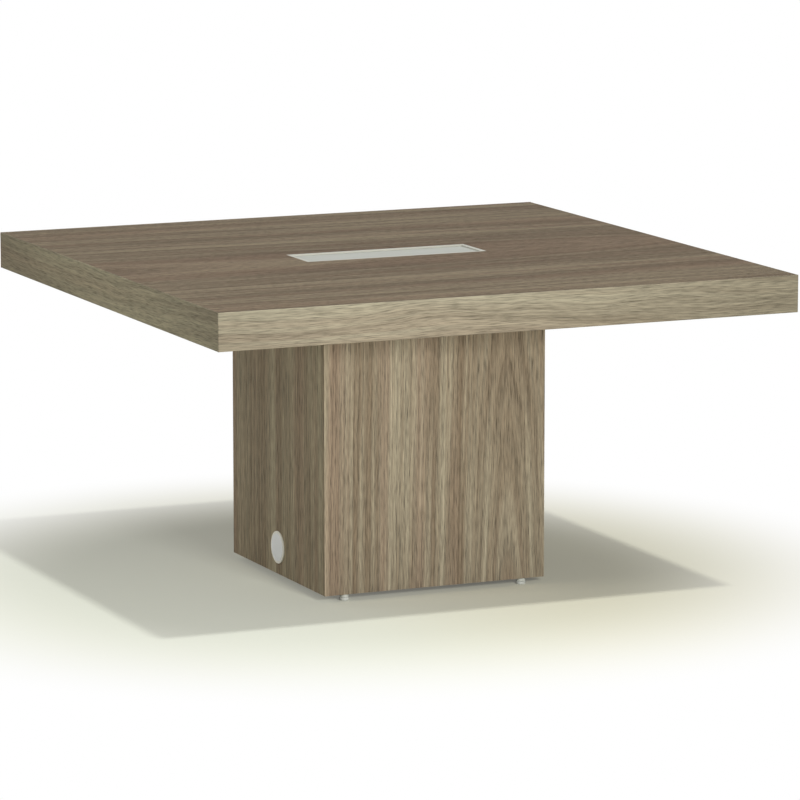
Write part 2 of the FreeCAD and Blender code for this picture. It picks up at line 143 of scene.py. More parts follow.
class Graph:
    """The node graph of one material or world."""

    COLOUR_INPUTS = (0, 6, 7)
    COLOUR_OUTPUT = 2

    def __init__(self, tree: bpy.types.NodeTree) -> None:
        """Start with an empty tree."""
        self.tree = tree
        self.tree.nodes.clear()

    def node(
        self, kind: str, settings: Optional[dict[str, Any]] = None,
        inputs: Optional[dict[Union[str, int], Any]] = None, output: Union[str, int] = 0,
    ) -> Wire:
        """Add a node.

        Args:
            kind: Blender's node type.
            settings: Properties of the node, set first.
            inputs: Values or wires by socket name or number.
            output: Socket to return.

        Returns:
            The chosen output, or the first input of a node without outputs.
        """
        made = self.tree.nodes.new(kind)
        for name, value in (settings or {}).items():
            setattr(made, name, value)
        for key, value in (inputs or {}).items():
            if isinstance(value, Wire):
                self.tree.links.new(value.socket, made.inputs[key])
            else:
                made.inputs[key].default_value = value
        return Wire(self, made.outputs[output] if made.outputs else made.inputs[0])

    def place(self) -> tuple[Wire, ...]:
        """Object coordinates as three values."""
        split = self.node("ShaderNodeSeparateXYZ", {}, {0: self.node("ShaderNodeTexCoord", output="Object")})
        return tuple(Wire(self, socket) for socket in split.socket.node.outputs)

    def vector(self, x: Number, y: Number, z: Number) -> Wire:
        """A vector of three values."""
        return self.node("ShaderNodeCombineXYZ", inputs={0: x, 1: y, 2: z})

    def mix(self, share: Number, first: Any, second: Any) -> Wire:
        """Mix of two colours or wires, by the share of the second."""
        inputs = dict(zip(self.COLOUR_INPUTS, (share, first, second)))
        return self.node("ShaderNodeMix", {"data_type": "RGBA"}, inputs, self.COLOUR_OUTPUT)

    def dim(self, colour: Wire, share: Number) -> Wire:
        """A colour times a value."""
        return self.node("ShaderNodeVectorMath", {"operation": "SCALE"}, {0: colour, "Scale": share})

    def seen(self) -> Wire:
        """Whether a ray comes from the camera, from gloss or through glass.

        Returns:
            One for such a ray.
        """
        path = self.node("ShaderNodeLightPath").socket.node.outputs
        kinds = ("Camera", "Glossy", "Transmission")
        camera, gloss, glass = (Wire(self, path[f"Is {kind} Ray"]) for kind in kinds)
        return camera.most(gloss).most(glass)


@dataclass(frozen=True)
class Noise:
    """Soft noise, stretched by its counts per metre on three axes and shifted on the last."""

    counts: tuple[float, float, float]
    detail: float = 2.0
    rough: float = 0.5
    shift: float = 0.0

    def read(self, graph: Graph, *place: Wire) -> Wire:
        """Its value at a place.

        Args:
            graph: Where to add its nodes.
            place: Three coordinates.

        Returns:
            A value near one half.
        """
        x, y, z = (part * count for part, count in zip(place, self.counts))
        inputs = {"Vector": graph.vector(x, y, z + self.shift), "Scale": 1.0}
        inputs |= {"Detail": self.detail, "Roughness": self.rough}
        return graph.node("ShaderNodeTexNoise", {"noise_dimensions": "3D"}, inputs)


@dataclass(frozen=True)
class Finish:
    """A material with its sheen; the pattern comes from paint."""

    BUMP_STRENGTH = 0.6
    BUMP_DEPTH = 0.0002

    name: str
    specular: float = 0.35

    def paint(self, graph: Graph) -> dict[str, Any]:
        """Pattern of the finish.

        Args:
            graph: Where to add its nodes.

        Returns:
            Values or wires for the shader, and the relief's height and depth.
        """
        raise NotImplementedError

    def material(self) -> bpy.types.Material:
        """The finish as a material, made once.

        Returns:
            The material.
        """
        found = bpy.data.materials.get(self.name)
        if found is not None:
            return found
        made = bpy.data.materials.new(self.name)
        made.use_nodes = True
        graph = Graph(made.node_tree)
        parts = self.paint(graph)
        relief = {"Height": parts.pop("height"), "Distance": parts.pop("depth", self.BUMP_DEPTH)}
        parts["Normal"] = graph.node("ShaderNodeBump", inputs={"Strength": self.BUMP_STRENGTH, **relief})
        parts["Specular IOR Level"] = self.specular
        shader = graph.node("ShaderNodeBsdfPrincipled", inputs=parts)
        graph.node("ShaderNodeOutputMaterial", inputs={"Surface": shader})
        LOG.info("finish %s", self.name)
        return made


class Grain(Enum):
    """Axes along the grain, across it and through the board."""

    TOP = "xyz"
    EDGE_LONG = "xzy"
    EDGE_SIDE = "yzx"
    PANEL_LONG = "zxy"
    PANEL_SIDE = "zyx"

    def turned(self, graph: Graph) -> tuple[Wire, ...]:
        """Object coordinates in the order of the grain's axes."""
        axes = dict(zip("xyz", graph.place()))
        return tuple(axes[letter] for letter in self.value)


@dataclass(frozen=True)
class Palette:
    """Tones of a wood decor: pale streaks, dark streaks and a rosy blush."""

    light: Colour
    dark: Colour
    rose: Colour

    def warmed(self, share: float) -> "Palette":
        """The same tones with only a share of their blue."""
        tones = (self.light, self.dark, self.rose)
        return Palette(*((red, green, blue * share, cover) for red, green, blue, cover in tones))


TOP_TONES = Palette(tone(159, 145, 121), tone(112, 97, 79), tone(137, 115, 96))
BAND_TONES = Palette(tone(148, 141, 120), tone(117, 107, 89), tone(137, 123, 104))
PANEL_TONES = Palette(tone(166, 155, 132), tone(127, 111, 90), tone(149, 127, 107))


@dataclass(frozen=True)
class WoodDecor(Finish):
    """Grey-brown wood decor: rings cut at a slant, colour streaks that follow them, fibres and pores; a scale
    paints each face lighter or darker as painted light and shade, and a pale stripe can paint a highlight
    along a corner.
    """

    DRIFT = Noise((1.3, 4.0, 1.0))
    RIPPLE = Noise((6.0, 16.0, 1.0), shift=3.1)
    BANDS = Noise((0.5, 24.0, 1.0), 3.0, 0.6, 7.7)
    BLUSH = Noise((0.45, 15.0, 1.0), shift=5.3)
    SILVER = Noise((0.7, 64.0, 1.0), shift=8.8)
    FIBRES = Noise((6.0, 260.0, 1.0), 5.0, 0.72, 6.6)
    LATE_WOOD = (0.25, 0.92)
    PORE_STEP = (0.54, 0.64)
    STREAK_STEP = (0.34, 0.66)
    BLUSH_STEP = (0.46, 0.68)
    SILVER_STEP = (0.58, 0.72)
    # Width of the painted highlight along a corner.
    CORNER_HIGHLIGHT_STEP = (0.003, 0.009)
    EVEN_LIGHT = 1.13

    grain: Grain = Grain.TOP
    tones: Palette = TOP_TONES
    seed: float = 0.0
    # Scale of the colour that paints light or shade onto a whole face.
    painted_light_scale: float = 1.0
    crown_at: tuple[float, float] = (0.0, 0.0)
    crown_deep: float = 0.06
    rise: float = 0.07
    sway: float = 0.02
    ring: float = 0.011
    ring_share: float = 0.1
    streak_count: float = 120.0
    streak_share: float = 0.32
    fibre_share: float = 1.3
    speck_share: float = 0.9
    pore_share: float = 0.3
    dash_count: float = 30.0
    # Place and strength of a painted highlight along a corner.
    corner_highlight_at: float = 0.0
    corner_highlight_share: float = 0.0

    def paint(self, graph: Graph) -> dict[str, Any]:
        """Pattern of the decor.

        Args:
            graph: Where to add its nodes.

        Returns:
            Colour, roughness, height and depth.
        """
        along, over, through = self.grain.turned(graph)
        seed = through * 0.2 + self.seed
        drift = self.DRIFT.read(graph, along, over, seed) - 0.5
        ripple = self.RIPPLE.read(graph, along, over, seed) - 0.5
        across = over + drift * (2 * self.sway) + ripple * (0.25 * self.sway)
        slope = (along - self.crown_at[0]) * self.rise + self.crown_deep + drift * 0.03
        offset = across - self.crown_at[1]
        radius = (offset * offset + slope * slope) ** 0.5
        bands = self.BANDS.read(graph, along, radius, seed)
        streaks = Noise((1.4, self.streak_count, 1.0), 3.0, 0.6, 1.9).read(graph, along, radius, seed)
        blush = self.BLUSH.read(graph, along, radius, seed).eased(*self.BLUSH_STEP)
        silver = self.SILVER.read(graph, along, radius, seed).eased(*self.SILVER_STEP)
        late = (radius / self.ring + streaks * 1.2).ringed(*self.LATE_WOOD)
        fibre = self.FIBRES.read(graph, along, across, seed) - 0.5
        speck = Noise((self.dash_count, 620.0, 1.0), shift=2.2).read(graph, along, across, seed) - 0.5
        slits = Noise((self.dash_count / 2, 1500.0, 1.0), shift=4.4).read(graph, along, across, seed)
        pores = (slits - speck * 0.7).eased(*self.PORE_STEP)
        share = bands * (1 - self.streak_share) + streaks * self.streak_share
        colour = graph.mix(share.eased(*self.STREAK_STEP), self.tones.dark, self.tones.light)
        colour = graph.mix(blush * 0.55, colour, self.tones.rose)
        colour = graph.mix(silver * 0.5, colour, self.tones.light)
        # The pale stripe here is a painted highlight along the corner.
        beside = over - self.corner_highlight_at + drift * 0.008
        pale = (1 - ((beside * beside) ** 0.5).eased(*self.CORNER_HIGHLIGHT_STEP)) * self.corner_highlight_share
        light = self.EVEN_LIGHT + fibre * self.fibre_share + speck * self.speck_share + pale
        shade = light - late * self.ring_share - pores * self.pore_share
        # The face's scale paints its light or shade onto the colour.
        return {
            "Base Color": graph.dim(colour, shade * self.painted_light_scale),
            "Roughness": 0.62 + pores * 0.12 + bands * 0.08,
            "height": fibre * 0.8 - pores * 0.7,
            "depth": 0.00025,
        }


@dataclass(frozen=True)
class RawTimber(Finish):
    """Planed softwood of the rails and posts, with ring lines and a few fibres."""

    BEND = Noise((1.5, 6.0, 6.0))
    FIBRES = Noise((20.0, 700.0, 700.0))
    RING = 0.004
    LATE_WOOD = (0.3, 0.95)

    grain: Grain = Grain.TOP
    early: Colour = tone(206, 176, 130)
    late: Colour = tone(170, 128, 82)

    def paint(self, graph: Graph) -> dict[str, Any]:
        """Pattern of the timber.

        Args:
            graph: Where to add its nodes.

        Returns:
            Colour, roughness and height.
        """
        along, over, through = self.grain.turned(graph)
        bend = self.BEND.read(graph, along, over, through)
        fibre = self.FIBRES.read(graph, along, over, through)
        mask = ((over * 0.8 + through * 0.6) / self.RING + bend * 5).ringed(*self.LATE_WOOD)
        colour = graph.mix(mask * 0.7 + fibre * 0.25, self.early, self.late)
        return {"Base Color": colour, "Roughness": 0.7 + fibre * 0.15, "height": fibre - mask * 0.3}


@dataclass(frozen=True)
class BackingSheet(Finish):
    """Plain backing laminate of the underside, with a paper fleck."""

    LINES = Noise((2.5, 170.0, 30.0), 3.0, 0.6)
    SPECKS = Noise((260.0, 900.0, 300.0))

    ground: Colour = tone(139, 128, 108)
    fleck: Colour = tone(120, 108, 90)

    def paint(self, graph: Graph) -> dict[str, Any]:
        """Pattern of the backing.

        Args:
            graph: Where to add its nodes.

        Returns:
            Colour, roughness, height and depth.
        """
        place = graph.place()
        lines = self.LINES.read(graph, *place)
        specks = self.SPECKS.read(graph, *place)
        mask = lines.eased(0.35, 0.7) * 0.7 + specks.eased(0.55, 0.7) * 0.3
        colour = graph.mix(mask, self.ground, self.fleck)
        return {"Base Color": colour, "Roughness": 0.6 + specks * 0.12, "height": specks, "depth": 0.0001}


@dataclass(frozen=True)
class Moulded(Finish):
    """Moulded plastic or rubber with a spark-eroded texture and faint flow marks."""

    MARKS = Noise((45.0, 45.0, 45.0), 3.0)
    GRIT = Noise((2600.0, 2600.0, 2600.0))

    ground: Colour = tone(200, 200, 196)
    flow: Colour = tone(188, 188, 182)
    rough: float = 0.42

    def paint(self, graph: Graph) -> dict[str, Any]:
        """Pattern of the moulding.

        Args:
            graph: Where to add its nodes.

        Returns:
            Colour, roughness, height and depth.
        """
        place = graph.place()
        marks = self.MARKS.read(graph, *place)
        grit = self.GRIT.read(graph, *place)
        colour = graph.dim(graph.mix(marks.eased(0.35, 0.7), self.ground, self.flow), 0.96 + grit * 0.08)
        return {"Base Color": colour, "Roughness": self.rough + grit * 0.12, "height": grit, "depth": 0.00008}


@dataclass(frozen=True)
class PowderCoat(Finish):
    """Powder-coated steel with orange peel and a fine fleck."""

    PEEL = Noise((620.0, 620.0, 620.0))
    SPECKS = Noise((2400.0, 2400.0, 2400.0), 1.0)

    ground: Colour = tone(74, 76, 78)
    fleck: Colour = tone(94, 96, 98)

    def paint(self, graph: Graph) -> dict[str, Any]:
        """Pattern of the coat.

        Args:
            graph: Where to add its nodes.

        Returns:
            Colour, roughness and height.
        """
        place = graph.place()
        peel = self.PEEL.read(graph, *place)
        specks = self.SPECKS.read(graph, *place)
        colour = graph.mix(specks.eased(0.58, 0.72) * 0.8, self.ground, self.fleck)
        return {"Base Color": colour, "Roughness": 0.5 + peel * 0.15, "height": peel * 0.8 + specks * 0.2}


@dataclass(frozen=True)
class ZincSteel(Finish):
    """Bright zinc plate: faint crystal patches, drawing lines and dull spots."""

    CRYSTALS = 190.0
    STAINS = Noise((60.0, 60.0, 60.0), 3.0, 0.6)
    LINES = Noise((900.0, 900.0, 120.0))

    pale: Colour = tone(196, 199, 202)
    dull: Colour = tone(150, 153, 156)

    def paint(self, graph: Graph) -> dict[str, Any]:
        """Pattern of the plating.

        Args:
            graph: Where to add its nodes.

        Returns:
            Colour, roughness, metal, height and depth.
        """
        place = graph.place()
        cells = {"Vector": graph.vector(*place), "Scale": self.CRYSTALS}
        patch = graph.node("ShaderNodeTexVoronoi", {"feature": "F1"}, cells)
        stain = self.STAINS.read(graph, *place)
        lines = self.LINES.read(graph, *place)
        colour = graph.mix((patch * 0.6 + stain * 0.6).eased(0.2, 0.8), self.pale, self.dull)
        rough = 0.28 + stain * 0.22 + lines * 0.08
        metal = 0.95 - stain.eased(0.6, 0.8) * 0.25
        return {"Base Color": colour, "Roughness": rough, "Metallic": metal, "height": lines, "depth": 6e-5}


@dataclass(frozen=True)
class SatinMetal(Finish):
    """Satin lacquered aluminium with a fine brushing along its length."""

    BRUSH = Noise((14.0, 2600.0, 2600.0))
    CLOUDS = Noise((9.0, 22.0, 22.0))

    ground: Colour = tone(214, 217, 211)
    line: Colour = tone(196, 199, 192)

    def paint(self, graph: Graph) -> dict[str, Any]:
        """Pattern of the brushing.

        Args:
            graph: Where to add its nodes.

        Returns:
            Colour, roughness, metal, height and depth.
        """
        place = graph.place()
        brush = self.BRUSH.read(graph, *place)
        cloud = self.CLOUDS.read(graph, *place)
        colour = graph.mix((brush * 0.7 + cloud * 0.3).eased(0.3, 0.7), self.ground, self.line)
        rough = 0.38 + brush * 0.14 + cloud * 0.06
        metal = 0.25 + cloud * 0.06
        return {"Base Color": colour, "Roughness": rough, "Metallic": metal, "height": brush, "depth": 5e-5}


ZINC = ZincSteel("bright_zinc", specular=0.5)
NYLON = Moulded("foot_nylon", specular=0.45, ground=tone(226, 228, 220), flow=tone(214, 216, 207), rough=0.34)


class Mesh:
    """A bmesh in the making, sized in millimetres, with the shaping steps that the pieces share."""

    def __init__(self) -> None:
        """Start empty."""
        self.bm = bmesh.new()

    def block(self, low: Sequence[float], high: Sequence[float]) -> list[bmesh.types.BMVert]:
        """Add a block.

        Args:
            low: Lowest corner.
            high: Highest corner.

        Returns:
            Its corners.
        """
        first, last = Vector(low) * MM, Vector(high) * MM
        matrix = Matrix.Translation((first + last) / 2) @ Matrix.Diagonal((*(last - first), 1.0))
        return bmesh.ops.create_cube(self.bm, size=1.0, matrix=matrix)["verts"]

    def rod(self, radius: float, length: float, matrix: Matrix, steps: int = 48) -> None:
        """Add a closed cylinder about its own middle, upright before the matrix."""
        size = {"radius1": radius * MM, "radius2": radius * MM, "depth": length * MM}
        bmesh.ops.create_cone(self.bm, cap_ends=True, segments=steps, matrix=matrix, **size)

    def soften(self, width: float, verts: Iterable[bmesh.types.BMVert], least: float = 0.6) -> None:
        """Round the sharp edges between some corners.

        Args:
            width: Width of the rounding.
            verts: Corners whose edges count.
            least: Least angle of an edge, in radians.
        """
        chosen = set(verts)
        inside = [edge for edge in self.bm.edges if chosen.issuperset(edge.verts)]
        sharp = [edge for edge in inside if edge.calc_face_angle(0.0) > least]
        bmesh.ops.bevel(
            self.bm, geom=sharp, offset=width * MM, affect="EDGES", segments=2, profile=0.5, material=-1,
            clamp_overlap=True,
        )

    def lathe(self, outline: Outline, steps: int, closed: bool = False) -> None:
        """Turn an outline about the upright axis.

        Args:
            outline: Radius and height of each point.
            steps: Sides of the turned shape.
            closed: Whether the last point joins the first.
        """
        verts = [self.bm.verts.new((radius * MM, 0.0, height * MM)) for radius, height in outline]
        edges = [self.bm.edges.new(pair) for pair in zip(verts, verts[1:])]
        if closed:
            edges.append(self.bm.edges.new((verts[-1], verts[0])))
        bmesh.ops.spin(
            self.bm, geom=verts + edges, cent=(0, 0, 0), axis=(0, 0, 1), angle=TURN, steps=steps,
            use_merge=True,
        )
        self.clean()

    def clean(self) -> None:
        """Merge doubles and turn the faces outwards."""
        bmesh.ops.remove_doubles(self.bm, verts=self.bm.verts[:], dist=MERGE)
        bmesh.ops.dissolve_degenerate(self.bm, edges=self.bm.edges[:], dist=MERGE / 10)
        bmesh.ops.recalc_face_normals(self.bm, faces=self.bm.faces[:])

    def move(self, matrix: Matrix) -> None:
        """Move all of it."""
        bmesh.ops.transform(self.bm, matrix=matrix, verts=self.bm.verts[:])

    def copy_in(self, other: "Mesh", matrix: Matrix) -> None:
        """Add another mesh at a place.

        Args:
            other: The mesh to add.
            matrix: Where it goes.
        """
        held = bpy.data.meshes.new("held")
        other.bm.to_mesh(held)
        held.transform(matrix)
        self.bm.from_mesh(held)
        bpy.data.meshes.remove(held)

    def carve(self, tool: "Mesh", operation: str = "DIFFERENCE") -> "Mesh":
        """Cut a tool out of the mesh, or join it on.

        Args:
            tool: The other closed mesh.
            operation: Name of the Boolean operation.

        Returns:
            The mesh that is left.
        """
        base, other = self.loose("base"), tool.loose("tool")
        step = base.modifiers.new("carve", "BOOLEAN")
        step.object = other
        step.operation = operation
        step.solver = "EXACT"
        graph = bpy.context.evaluated_depsgraph_get()
        left = bpy.data.meshes.new_from_object(base.evaluated_get(graph))
        result = Mesh()
        result.bm.from_mesh(left)
        for item in (base, other):
            data = item.data
            bpy.data.objects.remove(item)
            bpy.data.meshes.remove(data)
        bpy.data.meshes.remove(left)
        return result

    def loose(self, name: str) -> bpy.types.Object:
        """The mesh as an object on the scene.

        Args:
            name: Name of the object.

        Returns:
            The object at the origin.
        """
        data = bpy.data.meshes.new(name)
        self.bm.to_mesh(data)
        made = bpy.data.objects.new(name, data)
        bpy.context.scene.collection.objects.link(made)
        return made

    def piece(
        self, name: str, finish: Finish, body: str, slot: str, *nodes: str, crease: float = 35.0
    ) -> None:
        """Finish the mesh as a piece of the table.

        Args:
            name: Name of the piece.
            finish: Its finish.
            body: The body it moves with.
            slot: Name of a material slot; not used.
            nodes: CAD nodes it stands for.
            crease: Angle in degrees from which an edge stays sharp.
        """
        made = self.loose(name)
        made.data.materials.append(finish.material())
        made.data.shade_smooth()
        made.data.set_sharp_from_angle(angle=math.radians(crease))
        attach(made, body)
        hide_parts(*nodes)
        LOG.info("piece %s: %d faces on %s", name, len(made.data.polygons), body)
        self.bm.free()


def dress(finish: Finish, *nodes: str) -> None:
    """Give CAD nodes a finish.

    Args:
        finish: The finish.
        nodes: Names of the nodes.
    """
    for name in nodes:
        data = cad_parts[name].data
        data.materials.clear()
        data.materials.append(finish.material())
        LOG.info("node %s: %s", name, finish.name)


def arc(middle: tuple[float, float], radius: float, start: float, end: float, steps: int = 4) -> Outline:
    """Points of an arc in an outline.

    Args:
        middle: Radius and height of its middle.
        radius: Its radius.
        start: First angle in degrees.
        end: Last angle in degrees.
        steps: Parts of the arc.

    Returns:
        The points, both ends among them.
    """
    points = []
    for step in range(steps + 1):
        angle = math.radians(start + (end - start) * step / steps)
        points.append((middle[0] + radius * math.cos(angle), middle[1] + radius * math.sin(angle)))
    return points


def placed(x: float, y: float, z: float) -> Matrix:
    """A move to a place in millimetres."""
    return Matrix.Translation(Vector((x, y, z)) * MM)


def facing(at: Sequence[float], out: Sequence[float], quarter: int = 0) -> Matrix:
    """Place of an upright piece that is to point out of its seat, in quarter turns about the table."""
    turn = Vector(out).to_track_quat("Z", "Y").to_matrix().to_4x4()
    return Matrix.Rotation(quarter * TURN / 4, 4, "Z") @ placed(*at) @ turn


@dataclass(frozen=True)
class Screw:
    """A pan-head screw with a cross recess, shaped by shares of its sizes."""

    HEAD = ((0.0, 1.0), (0.5, 0.96), (0.82, 0.8), (1.0, 0.62), (1.0, 0.0))
    SHANK = ((1.0, 0.0), (1.0, 0.8), (0.25, 1.0), (0.0, 1.0))
    CROSS_LONG = 0.58
    CROSS_WIDE = 0.11
    CROSS_LEVELS = (0.5, 1.2)
    STEPS = 24

    head: float
    thick: float
    shank: float

    def one(self, length: float) -> Mesh:
        """One screw along its own axis, the seat under its head at the origin.

        Args:
            length: Length under the head.

        Returns:
            The screw.
        """
        outline = [(self.head * wide, self.thick * high) for wide, high in self.HEAD]
        outline += [(self.shank * wide, -length * deep) for wide, deep in self.SHANK]
        screw, cross, blade = Mesh(), Mesh(), Mesh()
        screw.lathe(outline, self.STEPS)
        long, wide = self.head * self.CROSS_LONG, self.head * self.CROSS_WIDE
        low, top = (self.thick * share for share in self.CROSS_LEVELS)
        cross.block((-long, -wide, low), (long, wide, top))
        blade.block((-wide, -long, low), (wide, long, top))
        return screw.carve(cross.carve(blade, "UNION"))

    def build(self, name: str, node: str, length: float, seats: Iterable[Matrix]) -> None:
        """Build a set of equal screws as one piece.

        Args:
            name: Name of the piece.
            node: CAD node it stands for.
            length: Length under the head.
            seats: Places of the screws.
        """
        pattern, whole = self.one(length), Mesh()
        for seat in seats:
            whole.copy_in(pattern, seat)
        pattern.bm.free()
        whole.piece(name, ZINC, "table", "zinc_steel", node)


@dataclass
class Worktop:
    """The hollow worktop: skins, rails between them and edge bands."""

    top_seed: float = 5.44
    band_seeds: tuple[float, float, float, float] = (66.1, 13.4, 15.5, 21.7)
    # Painted shade: the side bands are darker and warmer than the front and back ones.
    side_shade_blue: float = 0.91
    side_painted_shade: float = 0.87

    def build(self) -> None:
        """Dress the skins, bands and rails."""
        # Painted shade: the top's scale of 0.83 makes it darker than the front band.
        top = WoodDecor(
            "wood_decor_top", specular=0.05, grain=Grain.TOP, tones=TOP_TONES, seed=self.top_seed, painted_light_scale=0.83,
            crown_at=(-2.4, -0.05), crown_deep=0.1, rise=0.05, sway=0.018, streak_count=75.0,
            streak_share=0.42, fibre_share=1.4, speck_share=1.5, dash_count=58.0,
        )
        dress(top, "top_skin")
        dress(BackingSheet("backing_sheet", specular=0.2), "bottom_skin")
        for name, seed in zip(SIDES, self.band_seeds):
            long = name in LONG_SIDES
            band = WoodDecor(
                f"wood_decor_edge_{name}", specular=0.2, grain=Grain.EDGE_LONG if long else Grain.EDGE_SIDE,
                tones=BAND_TONES if long else BAND_TONES.warmed(self.side_shade_blue), seed=seed,
                painted_light_scale=1.0 if long else self.side_painted_shade,
                crown_at=(-2.5, 0.62), crown_deep=0.05, rise=0.02, sway=0.03, ring=0.012,
            )
            dress(band, f"edge_band_{name}")
        along_x = RawTimber("raw_timber_x", specular=0.25, grain=Grain.TOP)
        along_y = RawTimber("raw_timber_y", specular=0.25, grain=Grain.EDGE_SIDE)
        for kind in ("rail", "header", "trimmer"):
            dress(along_x, f"{kind}_front", f"{kind}_back")
        dress(along_y, "rail_left", "rail_right", "cross_rail_left", "cross_rail_right")


@dataclass
class Pedestal:
    """The square box pedestal: mitred panels, corner posts, steel angles and their screws."""

    panel_seeds: tuple[float, float, float, float] = (43.8, 25.6, 29.3, 79.6)
    crowns: tuple[tuple[float, float], ...] = ((-0.35, 0.18), (-0.3, -0.1), (-0.4, 0.05), (-0.6, 0.62))
    # Painted light and shade: the front and back panels are painted lighter, the side panels darker and
    # warmer.
    long_painted_light: float = 1.08
    side_painted_shade: float = 0.93
    side_shade_blue: float = 0.94
    # The pale stripe along the front panel's left corner is a painted highlight.
    corner_highlight_at: float = -0.273
    corner_highlight_share: float = 0.3
    inner: float = 250.0
    under: float = 665.0
    post_side: float = 30.0
    post_screw_heights: tuple[float, float] = (95.0, 515.0)
    post_screw_step: float = 30.0
    angle_hole: float = 100.0
    angle_leg: float = 28.0
    angle_thick: float = 2.5
    screw: Screw = Screw(head=4.0, thick=2.5, shank=2.0)
    wall_bite: float = 15.0
    top_bite: float = 11.0

    def panels(self) -> None:
        """Dress the four panels with upright grain; the front and back ones are painted lighter, the sides
        are painted darker and warmer as shade, and the front one has a painted highlight along its left
        corner.
        """
        for name, seed, crown in zip(SIDES, self.panel_seeds, self.crowns):
            long = name in LONG_SIDES
            decor = WoodDecor(
                f"wood_decor_{name}_panel", specular=0.2, seed=seed,
                grain=Grain.PANEL_LONG if long else Grain.PANEL_SIDE,
                tones=PANEL_TONES if long else PANEL_TONES.warmed(self.side_shade_blue),
                painted_light_scale=self.long_painted_light if long else self.side_painted_shade,
                crown_at=crown, crown_deep=0.035, rise=0.05, sway=0.014, ring=0.0105, ring_share=0.2,
                corner_highlight_at=self.corner_highlight_at, corner_highlight_share=self.corner_highlight_share if name == "front" else 0.0,
                fibre_share=1.5 if long else 1.9, speck_share=1.1 if long else 1.5,
            )
            dress(decor, f"{name}_panel")

    def inside(self) -> None:
        """Dress posts and angles, and build their screws."""
        timber = RawTimber("raw_timber_z", specular=0.25, grain=Grain.PANEL_LONG)
        dress(timber, *(f"corner_post_{number}" for number in range(1, 5)))
        dress(PowderCoat("coated_angle_steel", specular=0.4), *(f"angle_{name}" for name in SIDES))
        middle, face = self.post_side / 2 - self.inner, self.post_side - self.inner
        leg, plate = self.angle_leg / 2, self.angle_thick
        posts, walls, tops = [], [], []
        for quarter in range(4):
            for height in self.post_screw_heights:
                posts.append(facing((middle, face, height), (0, 1, 0), quarter))
                posts.append(facing((face, middle, height + self.post_screw_step), (1, 0, 0), quarter))
            for x in (-self.angle_hole, self.angle_hole):
                walls.append(facing((x, plate - self.inner, self.under - leg), (0, 1, 0), quarter))
                tops.append(facing((x, leg - self.inner, self.under - plate), (0, 0, -1), quarter))
        self.screw.build("post_screw_set", "post_screws", self.post_side + self.wall_bite, posts)
        self.screw.build("panel_screw_set", "panel_screws", plate + self.wall_bite, walls)
        self.screw.build("top_screw_set", "top_screws", plate + self.top_bite, tops)

    def build(self) -> None:
        """Dress and build the pedestal."""
        self.panels()
        self.inside()


